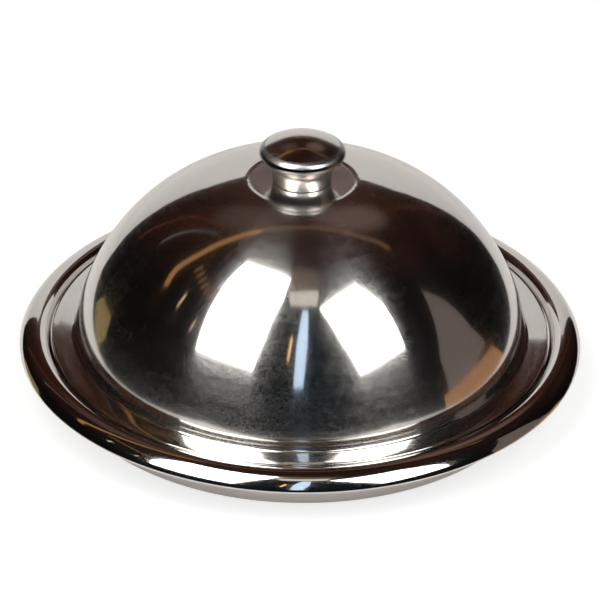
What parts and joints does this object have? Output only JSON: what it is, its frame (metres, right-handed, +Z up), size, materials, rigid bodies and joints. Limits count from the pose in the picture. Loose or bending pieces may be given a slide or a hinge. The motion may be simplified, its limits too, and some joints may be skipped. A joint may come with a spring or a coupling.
{
  "type": "domed serving dish",
  "caption": "Round shallow steel dish with a wide crowned rim and a lift-off domed cover that rests on its inner ledge and is lifted by a lens-shaped knob.",
  "frame": {"origin": "middle of the dish's flat underside, where it stands on the table", "axes": "+Z up along the axis that the dish, the cover and the knob share"},
  "size_m": [0.32, 0.32, 0.1497],
  "materials": {
    "polished_steel": "polished",
    "knob_steel": "polished",
    "zinc_plated_steel": "satin"
  },
  "bodies": {
    "dish": {"dish_body": "polished_steel"},
    "cover": {"cover_dome": "polished_steel", "knob_neck": "knob_steel", "knob_cap": "knob_steel", "knob_core": "zinc_plated_steel", "flat_washer": "zinc_plated_steel", "lock_washer": "zinc_plated_steel", "knob_screw": "zinc_plated_steel"}
  },
  "joints": [
    {"name": "cover_lift", "type": "slide", "parent": "dish", "child": "cover", "axis": [0, 0, 1], "range_m": [0, 0.15]}
  ]
}
